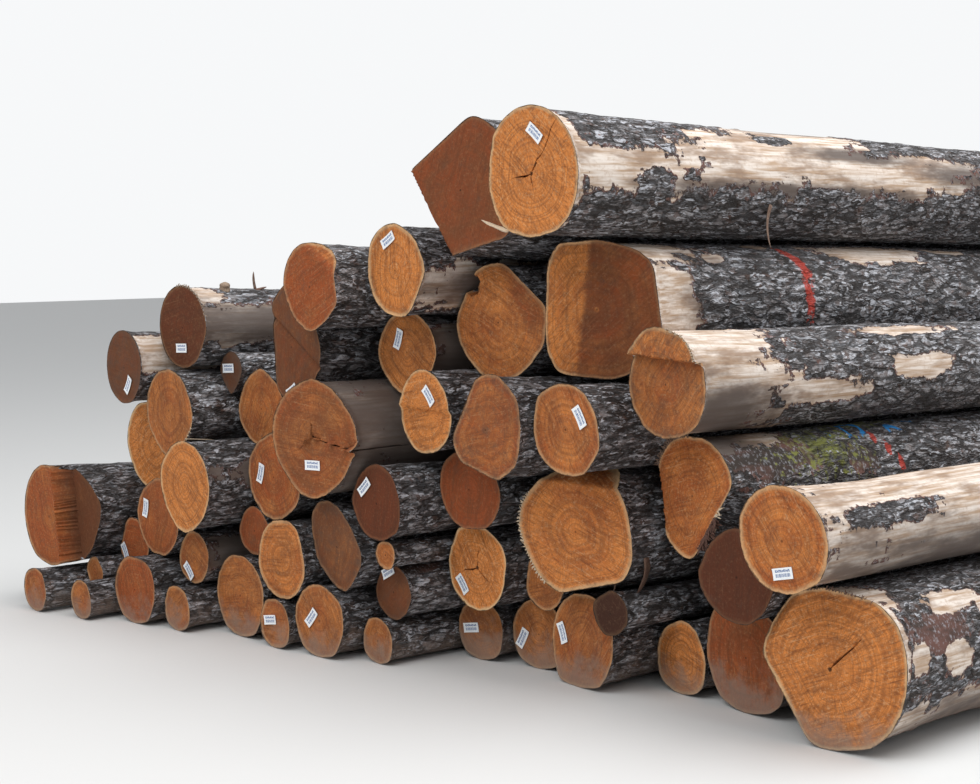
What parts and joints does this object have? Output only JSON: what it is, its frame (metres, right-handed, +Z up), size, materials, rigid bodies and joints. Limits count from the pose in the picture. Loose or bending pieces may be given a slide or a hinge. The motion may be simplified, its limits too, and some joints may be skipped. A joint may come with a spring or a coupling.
{
  "type": "stack of logs",
  "caption": "Pile of hardwood sawlogs lying in each other's hollows, sawn ends in a stepped front, tapering bark-covered trunks with forked, notched and split butts.",
  "frame": {"origin": "middle of the pile's footprint, on the ground", "axes": "+Z up, +Y along the logs away from the sawn ends that the picture shows, +X to the right along the pile as seen from those ends"},
  "size_m": [4.1234, 4.88, 2.1036],
  "materials": {
    "bark": "matte",
    "sawn_wood": "matte",
    "tag": "matte"
  },
  "bodies": {
    "root": {"log_1": "bark", "log_10": "bark", "log_11": "bark", "log_12": "bark", "log_13": "bark", "log_14": "bark", "log_15": "bark", "log_16": "bark", "log_17": "bark", "log_18": "bark", "log_19": "bark", "log_2": "bark", "log_20": "bark", "log_21": "bark", "log_22": "bark", "log_23": "bark", "log_24": "bark", "log_25": "bark", "log_26": "bark", "log_27": "bark", "log_28": "bark", "log_29": "bark", "log_3": "bark", "log_30": "bark", "log_31": "bark", "log_32": "bark", "log_33": "bark", "log_34": "bark", "log_35": "bark", "log_36": "bark", "log_37": "bark", "log_38": "bark", "log_39": "bark", "log_4": "bark", "log_40": "bark", "log_41": "bark", "log_42": "bark", "log_43": "bark", "log_44": "bark", "log_45": "bark", "log_46": "bark", "log_47": "bark", "log_48": "bark", "log_49": "bark", "log_5": "bark", "log_50": "bark", "log_51": "bark", "log_52": "bark", "log_53": "bark", "log_54": "bark", "log_55": "bark", "log_6": "bark", "log_7": "bark", "log_8": "bark", "log_9": "bark", "log_tags": "tag"}
  },
  "joints": []
}
